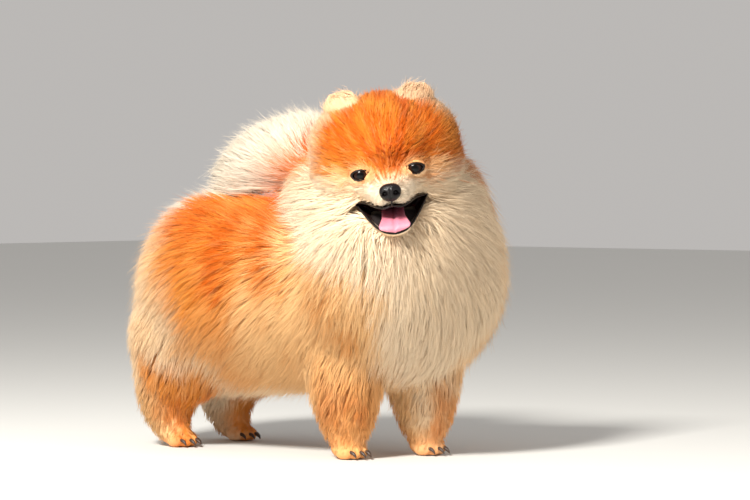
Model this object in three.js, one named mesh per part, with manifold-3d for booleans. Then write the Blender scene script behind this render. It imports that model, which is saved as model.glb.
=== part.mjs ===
// A life-size pomeranian, standing with its head turned to its right and its mouth open.
// Millimetres, +Z up. The dog faces -Y and its left side is +X. The floor is z = 0.
import * as THREE from 'three';
import { mergeVertices } from 'three/addons/utils/BufferGeometryUtils.js';
import Module from 'manifold-3d';

const wasm = await Module();
wasm.setup();

const V3 = THREE.Vector3;
const { degToRad, seededRandom } = THREE.MathUtils;
const UP = new V3(0, 0, 1);
const SIDES = { right: -1, left: 1 };

// Driving dimensions.
const GAP = 0.35; // kept between neighbouring pieces
const MERGE = 1e-3; // vertices closer than this are one
const HEAD_AT = [-26, -92, 226]; // the middle of the skull, at eye level
const HEAD_TURN = -50; // degrees to the dog's right
const HEAD_NOD = 4; // degrees, face down
const HEAD_TILT = -7.5; // degrees, left eye up
const EYE = { x: 20.4, y: -25, z: 0, radius: 9, halfWide: 7.6, halfHigh: 5, outward: 14 };
const LID = 1.7; // thickness of the lids over the eyeball
const LIP = 1.5; // radius of the rolled edge of the lips
const CORE_SHARE = 0.5; // how much of the coat's depth the locks stand in
const LOCK_ROOM = 2.4; // kept between a lock and the coat of a piece that it meets
const LOCK_GAP = 1.2; // kept between the locks of two pieces
const PAWS = {
  front_right: [-33, -57],
  front_left: [33, -82],
  hind_right: [-38, 120],
  hind_left: [36, 122],
};

// Coat outlines. Each section is a middle, a half width, a half height and the coat's depth there.
const TORSO = [
  { at: [0, -98, 124], wide: 40, high: 44, coat: 30 },
  { at: [0, -72, 128], wide: 72, high: 70, coat: 46 },
  { at: [0, -20, 128], wide: 87, high: 81, coat: 48 },
  { at: [0, 40, 126], wide: 91, high: 84, coat: 48 },
  { at: [0, 90, 123], wide: 90, high: 86, coat: 50 },
  { at: [0, 130, 116], wide: 78, high: 78, coat: 48 },
  { at: [0, 156, 110], wide: 54, high: 58, coat: 36 },
  { at: [0, 169, 107], wide: 26, high: 29, coat: 16 },
];
const TAIL = [
  { at: [0, 110, 186], wide: 13, high: 13, coat: 4 },
  { at: [0, 101, 208], wide: 20, high: 20, coat: 16 },
  { at: [1, 82, 222], wide: 30, high: 29, coat: 24 },
  { at: [3, 54, 233], wide: 38, high: 35, coat: 32 },
  { at: [5, 18, 239], wide: 40, high: 37, coat: 34 },
  { at: [6, -14, 237], wide: 29, high: 28, coat: 26 },
  { at: [6, -32, 235], wide: 12, high: 12, coat: 12 },
];
const FORELEG = [
  { at: [0, 6, 112], wide: 30, high: 32, coat: 14 },
  { at: [0, 4, 84], wide: 32, high: 34, coat: 16 },
  { at: [0, 2, 58], wide: 31, high: 33, coat: 16 },
  { at: [0, 1, 36], wide: 26, high: 28, coat: 12 },
  { at: [0, 0, 18], wide: 18, high: 20, coat: 6 },
  { at: [0, -1, 8], wide: 12, high: 13, coat: 2 },
];
const HINDLEG = [
  { at: [0, -12, 108], wide: 36, high: 50, coat: 20 },
  { at: [0, -5, 80], wide: 38, high: 52, coat: 22 },
  { at: [0, 6, 54], wide: 33, high: 40, coat: 20 },
  { at: [0, 11, 34], wide: 25, high: 28, coat: 12 },
  { at: [0, 7, 17], wide: 17, high: 19, coat: 6 },
  { at: [0, 2, 8], wide: 12, high: 13, coat: 2 },
];
const RUFF = {
  origin: [0, -70, 160],
  balls: [
    { at: [10, -73, 142], radii: [100, 83, 93], coat: 50 },
    { at: [8, -40, 174], radii: [70, 56, 62], coat: 28 },
    { at: [29, -91, 200], radii: [47, 47, 48], coat: 26 },
    { at: [-20, -33, 198], radii: [46, 46, 44], coat: 26 },
  ],
  soft: 5,
  pole: new V3(-0.6, -0.45, 0.66),
};

// Head forms are in the head's own frame: origin at eye level in the skull, face towards -Y.
const SKULL = {
  origin: [0, -12, -4],
  balls: [
    { at: [0, 6, 17], radii: [46, 44, 45], coat: 0 },
    { at: [24, 10, 2], radii: [38, 32, 39], coat: 20 },
    { at: [-24, 10, 2], radii: [38, 32, 39], coat: 20 },
    { at: [20, 8, 20], radii: [40, 31, 38], coat: 0 },
    { at: [-20, 8, 20], radii: [40, 31, 38], coat: 0 },
    { at: [0, -12, -6], radii: [32, 27, 23], coat: 0 },
    { at: [0, -28, -11], radii: [16, 35, 12], coat: 0 },
  ],
  soft: 1.6,
  pole: new V3(0, -1, 0),
};
const PAD = { at: [6.5, -50, -17.5], radii: [9, 11.5, 8] };
const MOUTH = [
  { at: [0, -14, -25], wide: 27, high: 2 },
  { at: [0, -30, -28], wide: 27, high: 6 },
  { at: [0, -46, -33.5], wide: 24, high: 8.5 },
  { at: [0, -72, -38], wide: 26, high: 11 },
];
const JAW = [
  { at: [0, -2, -34], wide: 20, high: 9 },
  { at: [0, -22, -38], wide: 20, high: 8.5 },
  { at: [0, -40, -43], wide: 14, high: 6 },
  { at: [0, -50, -44.5], wide: 9, high: 4.2 },
  { at: [0, -53, -44.5], wide: 5, high: 2.5 },
];
const TONGUE = [
  { at: [0, -16, -33], wide: 11, high: 2.6 },
  { at: [0, -32, -35.6], wide: 11.5, high: 2.6 },
  { at: [0, -46, -38], wide: 10.5, high: 2.3 },
  { at: [0, -55, -40.5], wide: 12, high: 1.9 },
  { at: [0, -58.5, -45], wide: 10.5, high: 1.5 },
];
const NOSE = { at: [0, -62.5, -13.5], radii: [8.3, 6, 6.9] };
const EAR = [
  { at: [24, 1, 34], wide: 14, high: 8 },
  { at: [27, 0, 46], wide: 16, high: 7 },
  { at: [29.5, -1, 57], wide: 15, high: 6 },
  { at: [31, -2, 64], wide: 8, high: 3.5 },
];
const EAR_FLARE = 22; // degrees that the ear's opening turns outward
const EAR_CUP = { forward: 5.5, narrower: 2.6 };

// A closed geometry as a solid, and back.
function solidOf(geometry) {
  const loose = geometry.index ? geometry.toNonIndexed() : geometry;
  const bare = new THREE.BufferGeometry().setAttribute('position', loose.getAttribute('position'));
  const merged = mergeVertices(bare, MERGE);
  return new wasm.Manifold(
    new wasm.Mesh({
      numProp: 3,
      vertProperties: merged.attributes.position.array,
      triVerts: new Uint32Array(merged.index.array),
    }),
  );
}

function geometryOf(solid) {
  const mesh = solid.getMesh();
  const places = new Float32Array(mesh.numVert * 3);
  for (let i = 0; i < mesh.numVert; i++) {
    places.set(mesh.vertProperties.subarray(i * mesh.numProp, i * mesh.numProp + 3), i * 3);
  }
  return new THREE.BufferGeometry()
    .setAttribute('position', new THREE.BufferAttribute(places, 3))
    .setIndex(new THREE.BufferAttribute(mesh.triVerts, 1));
}

const join = (...solids) => wasm.Manifold.union(solids.flat());
const largest = (solid) => solid.decompose().sort((a, b) => b.volume() - a.volume())[0];

// Rings of points joined in order, closed with a fan to the middle of each end ring.
function skinOver(rings) {
  const count = rings[0].length;
  const points = rings.flat();
  const faces = [];
  const corner = (ring, i) => ring * count + (i % count);
  for (let r = 0; r + 1 < rings.length; r++) {
    for (let i = 0; i < count; i++) {
      faces.push(corner(r, i), corner(r, i + 1), corner(r + 1, i + 1));
      faces.push(corner(r, i), corner(r + 1, i + 1), corner(r + 1, i));
    }
  }
  const middle = (ring) => ring.reduce((sum, p) => sum.add(p), new V3()).divideScalar(ring.length);
  const last = rings.length - 1;
  points.push(middle(rings[0]), middle(rings[last]));
  for (let i = 0; i < count; i++) {
    faces.push(points.length - 2, corner(0, i + 1), corner(0, i));
    faces.push(points.length - 1, corner(last, i), corner(last, i + 1));
  }
  const made = new THREE.BufferGeometry().setFromPoints(points).setIndex(faces);
  const solid = solidOf(made);
  if (solid.volume() > 0) return solid;
  return solidOf(made.setIndex(faces.reverse()));
}

// A surface with a point for each place t from 0 to 1 along it and each angle round it.
class Surface {
  solid({ rings, around, grow = 0, places = (share) => share }) {
    const angles = Array.from({ length: around }, (_, i) => (2 * Math.PI * i) / around);
    const steps = Array.from({ length: rings + 1 }, (_, r) => places(r / rings));
    return skinOver(steps.map((t) => angles.map((angle) => this.point(t, angle, grow))));
  }
}

// A rounded length of body along a smooth line through its sections, with side as their wide way.
class Length extends Surface {
  constructor(sections, thinner = 0, side = new V3(1, 0, 0)) {
    super();
    const smooth = (points) => new THREE.CatmullRomCurve3(points, false, 'centripetal');
    const left = (size, coat = 0) => Math.max(size - thinner * coat, 2);
    this.line = smooth(sections.map((s) => new V3(...s.at)));
    this.size = smooth(sections.map((s, i) => new V3(left(s.wide, s.coat), left(s.high, s.coat), i)));
    this.side = side;
  }
  frame(t) {
    const along = this.line.getTangent(t);
    const side = this.side.clone().projectOnPlane(along).normalize();
    return { side, up: new V3().crossVectors(along, side), size: this.size.getPoint(t) };
  }
  point(t, angle, grow = 0) {
    const { side, up, size } = this.frame(t);
    return this.line
      .getPoint(t)
      .addScaledVector(side, (size.x + grow) * Math.cos(angle))
      .addScaledVector(up, (size.y + grow) * Math.sin(angle));
  }
  closest(place) {
    let t = 0;
    for (let step = 0.05, from = 0, to = 1; step > 0.001; step /= 5) {
      for (let u = from; u <= to; u += step) {
        const nearer = this.line.getPoint(u).distanceTo(place) < this.line.getPoint(t).distanceTo(place);
        if (nearer) t = u;
      }
      from = Math.max(t - step, 0);
      to = Math.min(t + step, 1);
    }
    return t;
  }
  across(place) {
    const t = this.closest(place);
    const { side, up, size } = this.frame(t);
    const offset = place.clone().sub(this.line.getPoint(t));
    return { t, x: offset.dot(side) / size.x, y: offset.dot(up) / size.y };
  }
  near(place) {
    const { t, x, y } = this.across(place);
    return this.point(t, Math.atan2(y, x));
  }
  covers(place) {
    const { t, x, y } = this.across(place);
    return t > 0 && t < 1 && x * x + y * y < 1;
  }
}

// Ellipsoids run together into one smooth surface, seen from an origin inside it.
class Blend extends Surface {
  constructor({ origin, balls, soft, pole }, thinner = 0) {
    super();
    this.origin = new V3(...origin);
    this.balls = balls.map(({ at, radii, coat }) => ({
      at: new V3(...at).sub(this.origin),
      radii: new V3(...radii).subScalar(thinner * coat),
    }));
    this.soft = soft;
    this.turn = new THREE.Quaternion().setFromUnitVectors(UP, pole.clone().normalize());
  }
  reach({ at, radii }, way) {
    const w = way.clone().divide(radii);
    const c = at.clone().divide(radii);
    const b = w.dot(c);
    const a = w.lengthSq();
    return (b + Math.sqrt(Math.max(b * b - a * (c.lengthSq() - 1), 0))) / a;
  }
  towards(way, grow = 0) {
    const reaches = this.balls.map((ball) => this.reach(ball, way));
    const most = Math.max(...reaches);
    const sum = reaches.reduce((total, r) => total + Math.exp((r - most) / this.soft), 0);
    return this.origin.clone().addScaledVector(way, most + this.soft * Math.log(sum) + grow);
  }
  point(t, angle, grow = 0) {
    const way = new V3().setFromSphericalCoords(1, Math.PI * t, angle);
    return this.towards(new V3(way.x, way.z, way.y).applyQuaternion(this.turn), grow);
  }
  near(place) {
    return this.towards(place.clone().sub(this.origin).normalize());
  }
  covers(place) {
    return place.distanceTo(this.origin) < this.near(place).distanceTo(this.origin);
  }
}

const NEAR_POLE = 0.004; // how close to a blend's poles its end rings are
const betweenPoles = (spread) => (share) => NEAR_POLE + (1 - 2 * NEAR_POLE) * share ** spread;

function ball({ at, radii }, { around = 16, rings = 10, grow = 0 } = {}) {
  const round = new THREE.SphereGeometry(1, around, rings);
  round.scale(radii[0] + grow, radii[1] + grow, radii[2] + grow);
  return solidOf(round.translate(...at));
}

// A round bar along a curve, for the rolled edges of the lips.
function bar(points, radius) {
  const round = new THREE.Shape().absarc(0, 0, radius, 0, 2 * Math.PI);
  const extrudePath = new THREE.CatmullRomCurve3(points);
  const steps = points.length + 4;
  const made = new THREE.ExtrudeGeometry(round, { extrudePath, steps, curveSegments: 3 });
  return solidOf(made);
}

const mirror = (p) => new V3(-p.x, p.y, p.z);
const bothSides = (half) => [...half, ...half.slice(0, -1).map(mirror).reverse()];
const onSide = ({ at: [x, y, z], ...rest }, s) => ({ at: [x * s, y, z], ...rest });

// The eyes, and the almond openings of their lids.
const eyeBall = (s, grow) =>
  ball(
    { at: [EYE.x * s, EYE.y, EYE.z], radii: [EYE.radius, EYE.radius, EYE.radius] },
    { around: 12, rings: 8, grow },
  );

function lidOpening(s) {
  const almond = new THREE.Shape();
  almond.moveTo(-EYE.halfWide, 0);
  almond.quadraticCurveTo(0, 2 * EYE.halfHigh, EYE.halfWide, 0);
  almond.quadraticCurveTo(0, -2 * EYE.halfHigh, -EYE.halfWide, 0);
  const depth = 4 * EYE.radius;
  const cut = new THREE.ExtrudeGeometry(almond, { depth, curveSegments: 4, bevelEnabled: false });
  cut.rotateX(Math.PI / 2).rotateZ(degToRad(EYE.outward * s));
  return solidOf(cut.translate(EYE.x * s, EYE.y, EYE.z));
}

// The nose leather, with its nostrils, their side slits and the groove down to the lip.
function noseSolid() {
  const holes = [-1, 1].flatMap((s) => [
    ball({ at: [4.3 * s, -67.4, -14.2], radii: [2, 2.8, 2.2] }, { around: 7, rings: 5 }),
    ball({ at: [6.9 * s, -65, -15.2], radii: [2.4, 2.6, 0.9] }, { around: 7, rings: 4 }),
  ]);
  const groove = solidOf(new THREE.BoxGeometry(0.9, 3, 8).translate(0, -68.4, -18.5));
  return ball(NOSE, { around: 12, rings: 9 }).subtract(join(holes, groove));
}

// The upper lip follows the line where the mouth opens in the skull's surface.
function upperLipLine() {
  const skull = new Blend(SKULL, CORE_SHARE);
  const mouth = new Length(MOUTH);
  const topAt = (y) => {
    const t = THREE.MathUtils.clamp((MOUTH[0].at[1] - y) / (MOUTH[0].at[1] - MOUTH[3].at[1]), 0, 1);
    const nearest = [0, 1, 2, 3, 4, 5, 6, 7, 8, 9, 10].map((i) => mouth.point(i / 10, Math.PI / 2));
    nearest.sort((a, b) => Math.abs(a.y - y) - Math.abs(b.y - y));
    return t <= 0 ? MOUTH[0].at[2] : nearest[0].z;
  };
  const edge = (turn) => {
    let low = -1.2;
    let high = 0.4;
    let found;
    for (let i = 0; i < 20; i++) {
      const rise = (low + high) / 2;
      const way = new V3(Math.sin(turn), -Math.cos(turn), rise).normalize();
      found = skull.towards(way);
      if (found.z > topAt(found.y)) high = rise;
      else low = rise;
    }
    return found;
  };
  return bothSides([68, 52, 36, 22, 11, 0].map((degrees) => edge(degToRad(degrees))));
}

function lowerLipLine() {
  const jaw = new Length(JAW);
  const rim = [0.28, 0.46, 0.64, 0.8, 0.92].map((t) => jaw.point(t, degToRad(35)));
  return bothSides([...rim, jaw.point(0.98, Math.PI / 2)]);
}

const jawForm = (grow) => new Length(JAW).solid({ rings: 6, around: 12, grow });
const tongueForm = (grow) => new Length(TONGUE).solid({ rings: 8, around: 8, grow });
const skullForm = (grow, thinner = CORE_SHARE) =>
  new Blend(SKULL, thinner).solid({ rings: 15, around: 20, grow, places: betweenPoles(1.3) });

const jawWhole = (grow) => join(jawForm(grow), bar(lowerLipLine(), LIP + grow));
const jawSolid = () => jawWhole(0).subtract(tongueForm(GAP));

const headForm = (grow) =>
  join(
    skullForm(grow),
    [-1, 1].map((s) => eyeBall(s, GAP + LID + grow)),
    [-1, 1].map((s) => ball(onSide(PAD, s), { around: 10, rings: 8, grow })),
  );

function headSolid() {
  const mouth = new Length(MOUTH).solid({ rings: 6, around: 12 });
  const sockets = [-1, 1].flatMap((s) => [eyeBall(s, GAP), lidOpening(s)]);
  const lipped = join(headForm(0).subtract(mouth), bar(upperLipLine(), LIP));
  const noseRoom = ball(NOSE, { around: 12, rings: 9, grow: GAP });
  return lipped.subtract(join(sockets, noseRoom, jawWhole(GAP)));
}

// An upright ear with its cup opening forward.
function earSolid(s) {
  const side = new V3(1, 0, 0).applyAxisAngle(UP, degToRad(EAR_FLARE * s));
  const shape = EAR.map((section) => onSide(section, s));
  const inner = shape.map(({ at: [x, y, z], wide, high }) => ({
    at: [x, y - EAR_CUP.forward, z + 3],
    wide: wide - EAR_CUP.narrower,
    high,
  }));
  const whole = new Length(shape, 0, side).solid({ rings: 7, around: 12 });
  const cup = new Length(inner, 0, side).solid({ rings: 6, around: 10 });
  return whole.subtract(join(cup, skullForm(GAP)));
}

// Long hair as flat tapered locks. Each is rooted in the core and bends over to lie along the coat.
const vary = (middle, share) => middle * (1 + share * (2 * seededRandom() - 1));
const LOCK_RINGS = [
  { share: 0, height: -0.3, wide: 0.8, flat: 1 },
  { share: 0.28, height: 0.6, wide: 1, flat: 0.9 },
  { share: 0.66, height: 0.97, wide: 0.8, flat: 0.6 },
  { share: 1, height: 1.02, wide: 0.14, flat: 0.16 },
];
const LOCK_CUP = 0.1; // how far a lock's edges lie under its middle, in its own widths

class Coat {
  constructor(kind, sizes) {
    this.core = new kind(sizes, CORE_SHARE);
    this.full = new kind(sizes);
  }
  at(place, height) {
    return this.core.near(place).lerp(this.full.near(place), height);
  }
}

function lockSolid(coat, { root, lie, reach, width, thick }, grow) {
  const path = LOCK_RINGS.map(({ share, height }) =>
    coat.at(root.clone().addScaledVector(lie, share * reach), height),
  );
  const last = path.length - 1;
  const rings = LOCK_RINGS.map(({ wide, flat }, i) => {
    const along = path[Math.min(i + 1, last)].clone().sub(path[Math.max(i - 1, 0)]).normalize();
    const out = coat.at(path[i], 1).sub(coat.at(path[i], 0));
    const across = new V3().crossVectors(along, out).setLength((width * wide) / 2 + grow);
    const up = new V3().crossVectors(across, along).setLength((thick * flat) / 2 + grow);
    const under = up.clone().setLength(LOCK_CUP * width * wide).negate();
    const middle = path[i].clone().addScaledVector(along, { 0: -grow, [last]: grow }[i] ?? 0);
    const edges = [across, across.clone().negate()].map((p) => p.add(under));
    return [edges[0], up, edges[1], up.clone().negate()].map((p) => p.add(middle));
  });
  return skinOver(rings);
}

// Locks in rows over a core, staggered and varied, all lying the way that lieOf says. What comes
// back joins them, each grown by a margin.
function locksOver(coat, { rows, from = 0, to = 1, spacing, lieOf, skip = () => false, ...size }) {
  const locks = [];
  for (let row = 0; row < rows; row++) {
    const t = from + ((to - from) * (row + 0.5)) / rows;
    const girth = [0, 1, 2, 3, 4, 5, 6, 7].reduce((sum, i) => {
      const [a, b] = [i, i + 1].map((j) => coat.core.point(t, (j * Math.PI) / 4));
      return sum + a.distanceTo(b);
    }, 0);
    const count = Math.max(Math.round(girth / spacing), 3);
    for (let i = 0; i < count; i++) {
      const angle = (2 * Math.PI * (i + (row % 2) / 2 + 0.3 * (seededRandom() - 0.5))) / count;
      const root = coat.core.point(t, angle);
      const reach = vary(size.reach, 0.15);
      const width = vary(size.width, 0.15);
      const out = coat.at(root, 1).sub(root).normalize();
      const lie = lieOf(root).projectOnPlane(out).normalize();
      if (skip(root, lie)) continue;
      locks.push({ root, lie, reach, width, thick: size.thick });
    }
  }
  return (grow) => join(locks.map((lock) => lockSolid(coat, lock, grow)));
}

// A paw: a pad and four toes with a claw each. The floor cuts its flat sole.
const TOES = [
  { x: -9, y: -4 },
  { x: -3.3, y: -9 },
  { x: 3.3, y: -9 },
  { x: 9, y: -4 },
];
const PAW_PAD = { at: [0, 1, 8.5], radii: [12.5, 14, 10] };
const CLAW_DROOP = 32; // degrees
const floor = solidOf(new THREE.BoxGeometry(600, 600, 20).translate(0, 0, -10));

function pawSolid() {
  const toes = TOES.map(({ x, y }) =>
    ball({ at: [x, y, 5.6], radii: [4.6, 9, 6.4] }, { around: 7, rings: 4 }),
  );
  const claws = TOES.map(({ x, y }) => {
    const claw = new THREE.ConeGeometry(1.4, 8, 4).rotateX(Math.PI / 2 + degToRad(CLAW_DROOP));
    return solidOf(claw.translate(x, y - 9, 4.2));
  });
  return join(ball(PAW_PAD, { around: 12, rings: 6 }), toes, claws);
}

// Assembly. Each node is cut clear of those before it, face to face.
const dog = new THREE.Group();
const head = new THREE.Group();
head.position.set(...HEAD_AT);
head.rotation.set(degToRad(HEAD_NOD), degToRad(HEAD_TILT), degToRad(HEAD_TURN), 'ZXY');
dog.add(head);
dog.updateMatrixWorld(true);
const inStance = (solid) => solid.transform(head.matrixWorld.elements);

const MATERIALS = {
  orange_coat: new THREE.MeshStandardMaterial({ color: 0xd9843c, roughness: 0.9 }),
  cream_coat: new THREE.MeshStandardMaterial({ color: 0xf0d3a4, roughness: 0.9 }),
  nose_leather: new THREE.MeshStandardMaterial({ color: 0x1a1616, roughness: 0.4 }),
  dark_eye: new THREE.MeshStandardMaterial({ color: 0x160d08, roughness: 0.08 }),
  tongue_skin: new THREE.MeshStandardMaterial({ color: 0xe88ba0, roughness: 0.45 }),
};

const parts = [];
const addPart = (name, group, material, solid) => parts.push({ name, group, material, solid });

// Each coated piece has its core cut clear of the cores before it. Its locks keep out of the coats
// before it and the cores after it.
const coats = {
  head: new Coat(Blend, SKULL),
  neck: new Coat(Blend, RUFF),
  torso: new Coat(Length, TORSO),
  tail: new Coat(Length, TAIL),
};
const DETAIL = {
  neck: { rings: 14, around: 20, places: betweenPoles(1) },
  torso: { rings: 12, around: 18 },
  tail: { rings: 10, around: 12 },
};
const coreOf = (name, grow) => coats[name].core.solid({ ...DETAIL[name], grow });
const fullOf = (name, grow) => coats[name].full.solid({ ...DETAIL[name], grow });

const legs = Object.entries(PAWS).map(([name, [x, y]]) => {
  const sections = name.startsWith('hind') ? HINDLEG : FORELEG;
  const placed = sections.map(({ at, ...size }) => ({ at: [at[0] + x, at[1] + y, at[2]], ...size }));
  coats[name] = new Coat(Length, placed);
  DETAIL[name] = { rings: 8, around: 12 };
  return name;
});

const jawRoom = inStance(jawWhole(GAP));
const MOUTH_ROOM = { at: [0, -50, -26], radii: [33, 34, 24] };
const faceRoom = inStance(
  join(bar(upperLipLine(), LIP + GAP), ball(MOUTH_ROOM, { around: 12, rings: 8 })),
);
const headRoom = join(inStance(skullForm(GAP)), jawRoom, faceRoom);
const headCoatRoom = join(inStance(skullForm(LOCK_ROOM, 0)), jawRoom, faceRoom);

// The lie of the hair: back from the nose, down and out from the chin, back and down along the body.
const headLie = ({ x }) => new V3(0.5 * Math.sign(x), 1, -0.8);
const ruffPole = RUFF.pole.clone().normalize();
const neckLie = (root) => {
  const away = root.clone().sub(coats.neck.core.origin).projectOnPlane(ruffPole).normalize();
  return away.add(new V3(0, 0.1, -0.6));
};
const torsoLie = ({ y, z }) => {
  if (y > 105) return new V3(0, 0.2, -1);
  return z > 165 ? new V3(0, 1, -0.2) : new V3(0, 1, -0.8);
};
const tailLie = ({ x, z }) => new V3(x / 25, -1, (z - 225) / 30);
const legLie = () => new V3(0, 0.3, -1);
const hidden = (names, root, lie, reach) => {
  const tip = root.clone().addScaledVector(lie, reach);
  return names.some((name) => coats[name].full.covers(root) || coats[name].full.covers(tip));
};

seededRandom(29);
const cheekLocks = locksOver(coats.head, {
  rows: 3, from: 0.42, to: 0.74, spacing: 24, reach: 25, width: 25, thick: 4.5, lieOf: headLie,
  skip: ({ x, y, z }) => Math.abs(x) < 24 || z > 20 || y < -14,
});
const ruffLocks = locksOver(coats.neck, {
  rows: 5, from: 0.12, to: 0.93, spacing: 42, reach: 60, width: 42, thick: 5.5, lieOf: neckLie,
  skip: (root) => coats.torso.core.covers(root) || root.z > 205,
});
const torsoLocks = locksOver(coats.torso, {
  rows: 5, from: 0.22, to: 0.93, spacing: 46, reach: 56, width: 42, thick: 5.5, lieOf: torsoLie,
  skip: (root, lie) => {
    const tip = root.clone().addScaledVector(lie, 40);
    return coats.neck.core.covers(root) || coats.neck.full.covers(tip);
  },
});
const tailLocks = locksOver(coats.tail, {
  rows: 5, from: 0.14, to: 0.88, spacing: 32, reach: 46, width: 34, thick: 4.5, lieOf: tailLie,
  skip: (root, lie) => hidden(['torso', 'neck'], root, lie, 36),
});

const legCores = join(legs.map((name) => coreOf(name, GAP)));
const neckRoom = join(coreOf('neck', GAP), headRoom);
const tailRoom = join(coreOf('torso', GAP), neckRoom);

addPart('nose', head, 'nose_leather', inStance(noseSolid()));
addPart('tongue', head, 'tongue_skin', inStance(tongueForm(0)));
addPart('jaw', head, 'cream_coat', inStance(jawSolid()));
addPart('head', head, 'orange_coat', join(
  inStance(headSolid()),
  inStance(cheekLocks(0)).subtract(join(coreOf('neck', GAP), jawRoom, faceRoom)),
));
for (const [side, s] of Object.entries(SIDES)) {
  addPart(`eye_${side}`, head, 'dark_eye', inStance(eyeBall(s, 0)));
  addPart(`ear_${side}`, head, 'cream_coat', inStance(earSolid(s)));
}
addPart('neck', dog, 'cream_coat', join(
  coreOf('neck', 0).subtract(headRoom),
  ruffLocks(0).subtract(join(headCoatRoom, coreOf('torso', GAP), coreOf('tail', GAP), legCores)),
));
addPart('torso', dog, 'orange_coat', join(
  coreOf('torso', 0).subtract(neckRoom),
  torsoLocks(0).subtract(join(ruffLocks(LOCK_GAP), neckRoom, coreOf('tail', GAP), legCores)),
));
addPart('tail', dog, 'cream_coat', join(
  coreOf('tail', 0).subtract(tailRoom),
  tailLocks(0).subtract(join(fullOf('torso', LOCK_ROOM), fullOf('neck', LOCK_ROOM), headCoatRoom)),
));

for (const name of legs) {
  const locks = locksOver(coats[name], {
    rows: 2, from: 0.34, to: 0.84, spacing: 30, reach: 26, width: 24, thick: 4.5, lieOf: legLie,
    skip: (root, lie) => root.y < PAWS[name][1] || hidden(['torso', 'neck'], root, lie, 24),
  });
  addPart(`leg_${name}`, dog, 'orange_coat', join(
    coreOf(name, 0).subtract(join(coreOf('torso', GAP), coreOf('neck', GAP))),
    locks(0).subtract(join(fullOf('torso', LOCK_ROOM), fullOf('neck', LOCK_ROOM))),
    pawSolid().translate([...PAWS[name], 0]),
  ).subtract(floor));
}

// The origin is on the floor under the middle of the whole dog.
const whole = new THREE.Box3();
for (const { solid } of parts) {
  const { min, max } = solid.boundingBox();
  whole.union(new THREE.Box3(new V3(...min), new V3(...max)));
}
const middle = whole.getCenter(new V3());
for (const { name, group, material, solid } of parts) {
  const shape = geometryOf(largest(solid)).applyMatrix4(group.matrixWorld.clone().invert());
  const mesh = new THREE.Mesh(shape, MATERIALS[material]);
  mesh.name = name;
  group.add(mesh);
}
dog.position.set(-middle.x, -middle.y, -whole.min.z);

export default dog;
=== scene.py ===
import math

import bpy
import numpy as np
from mathutils import Matrix, Vector
from mathutils.bvhtree import BVHTree
from mathutils.kdtree import KDTree


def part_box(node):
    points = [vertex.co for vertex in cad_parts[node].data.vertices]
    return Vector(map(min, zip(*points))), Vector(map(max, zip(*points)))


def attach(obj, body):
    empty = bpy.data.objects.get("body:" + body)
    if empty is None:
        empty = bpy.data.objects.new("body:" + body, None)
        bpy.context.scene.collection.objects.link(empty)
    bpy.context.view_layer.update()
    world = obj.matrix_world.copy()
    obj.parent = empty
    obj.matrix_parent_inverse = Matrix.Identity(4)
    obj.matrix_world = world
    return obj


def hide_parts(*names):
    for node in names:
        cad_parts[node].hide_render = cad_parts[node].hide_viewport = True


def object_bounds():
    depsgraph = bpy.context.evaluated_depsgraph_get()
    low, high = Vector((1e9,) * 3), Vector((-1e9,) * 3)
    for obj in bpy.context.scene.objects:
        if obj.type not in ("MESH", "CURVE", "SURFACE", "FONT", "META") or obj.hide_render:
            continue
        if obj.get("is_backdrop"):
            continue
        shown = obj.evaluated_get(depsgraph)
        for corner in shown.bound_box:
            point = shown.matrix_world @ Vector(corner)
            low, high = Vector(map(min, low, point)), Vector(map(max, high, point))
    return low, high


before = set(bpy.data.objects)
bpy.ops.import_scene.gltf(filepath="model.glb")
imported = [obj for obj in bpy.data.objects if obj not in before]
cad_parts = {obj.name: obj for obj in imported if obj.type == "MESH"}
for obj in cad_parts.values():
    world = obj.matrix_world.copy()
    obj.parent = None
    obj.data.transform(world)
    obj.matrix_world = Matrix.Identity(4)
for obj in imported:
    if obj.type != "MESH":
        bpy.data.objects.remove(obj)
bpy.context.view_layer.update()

# The stance. The dog is drawn in millimetres, square on its feet, facing -Y with its left side
# at +X. Its head is turned to its right, with the left eye a little higher. The eyes of the
# solid head say where the drawing lies in the frame.
HEAD_AT = np.array([-26.0, -92.0, 226.0])
head_turn = np.array(
    Matrix.Rotation(math.radians(-50), 3, "Z")
    @ Matrix.Rotation(math.radians(4), 3, "X")
    @ Matrix.Rotation(math.radians(-7.5), 3, "Y")
)
EYE_AT = np.array([20.4, -25.0, 0.0])
eye_corners = [np.array(c) for side in ("right", "left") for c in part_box(f"eye_{side}")]
BETWEEN_EYES = HEAD_AT + head_turn @ (EYE_AT * (0, 1, 1))
drawing_at = np.mean(eye_corners, axis=0) - BETWEEN_EYES / 1000


def on_drawing(head_points):
    """Points of the head's own drawing, placed on the whole dog's."""
    return np.asarray(head_points, float) @ head_turn.T + HEAD_AT


def in_frame(points):
    return np.asarray(points, float) / 1000 + drawing_at


# The camera, low on the dog's right front, with a long lens. It looks a little down.
across_view = np.array([0.643, -0.766, 0.0])
into_view = np.array([0.766, 0.643, 0.0])
CAMERA_AWAY, CAMERA_BESIDE, CAMERA_HEIGHT = 2400, 44, 217.6
LOOKS_DOWN = 70 / 3000
camera_data = bpy.data.cameras.new("camera")
camera_data.lens = 144
camera_data.sensor_width = 36
camera_data.clip_start = 0.05
camera_data.clip_end = 30
camera = bpy.data.objects.new("camera", camera_data)
bpy.context.collection.objects.link(camera)
camera_at = -CAMERA_AWAY * into_view + CAMERA_BESIDE * across_view + (0, 0, CAMERA_HEIGHT)
camera.location = in_frame(camera_at)
looking = Vector(into_view - (0, 0, LOOKS_DOWN))
camera.rotation_euler = looking.to_track_quat("-Z", "Y").to_euler()
bpy.context.scene.camera = camera


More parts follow.
